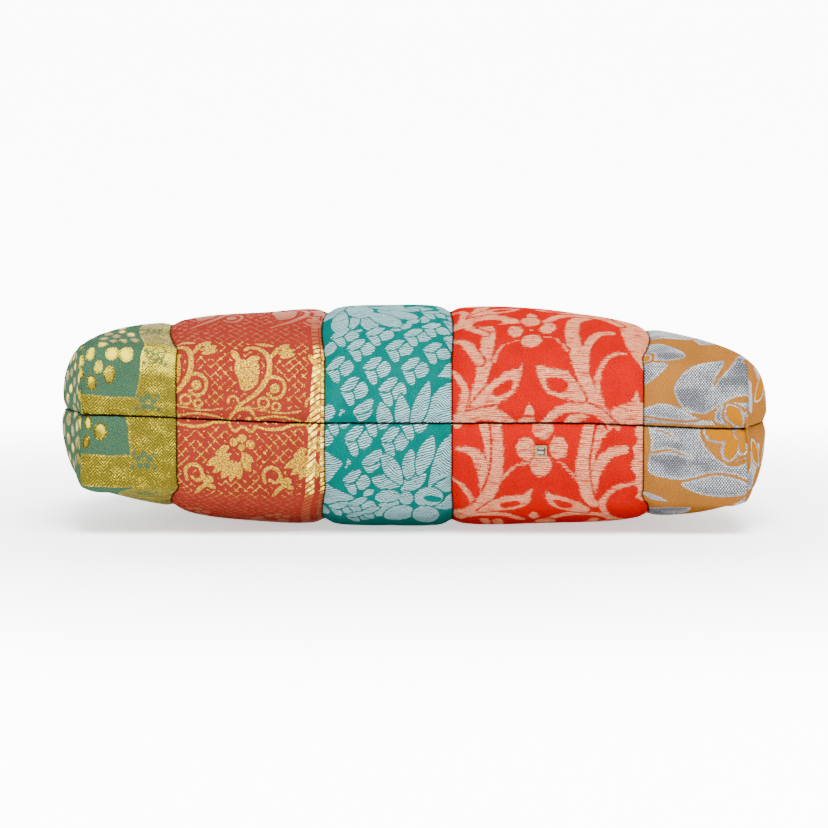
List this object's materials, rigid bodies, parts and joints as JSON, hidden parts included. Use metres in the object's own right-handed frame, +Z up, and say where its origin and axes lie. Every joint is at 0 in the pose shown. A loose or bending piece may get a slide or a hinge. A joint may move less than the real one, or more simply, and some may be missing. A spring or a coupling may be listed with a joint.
{
  "type": "kinchaku drawstring pouch",
  "caption": "Patchwork brocade drawstring pouch, lined, with a boxed base and a drawstring channel round its gathered mouth.",
  "frame": {"origin": "on the ground under the middle of the pouch's box, as it lies on its back face", "axes": "+X from the gold end strips to the silver ones, -Y out of the boxed base, +Y out of the mouth, +Z up through the front face"},
  "size_m": [0.2668, 0.2009, 0.0832],
  "materials": {
    "gold_brocade": "woven silk with gold metallic thread, soft sheen",
    "rose_brocade": "woven silk with gold metallic thread, soft sheen",
    "teal_brocade": "woven silk with silver metallic thread, soft sheen",
    "scarlet_brocade": "woven silk with pale gold thread, soft sheen",
    "silver_brocade": "woven silk with silver metallic thread, soft sheen",
    "lining_cotton": "plain cotton weave, matte",
    "casing_cotton": "plain cotton weave, matte",
    "setting_metal": "pale gold metal, polished",
    "crystal": "clear cut glass with a mirrored back"
  },
  "bodies": {
    "root": {"front_gold_strip": "gold_brocade", "front_rose_strip": "rose_brocade", "front_teal_strip": "teal_brocade", "front_scarlet_strip": "scarlet_brocade", "front_silver_strip": "silver_brocade", "back_gold_strip": "gold_brocade", "back_rose_strip": "rose_brocade", "back_teal_strip": "teal_brocade", "back_scarlet_strip": "scarlet_brocade", "back_silver_strip": "silver_brocade", "lining_front": "lining_cotton", "lining_back": "lining_cotton", "casing_front": "casing_cotton", "casing_back": "casing_cotton", "crystal_setting": "setting_metal", "flower_crystal": "crystal"}
  },
  "joints": []
}
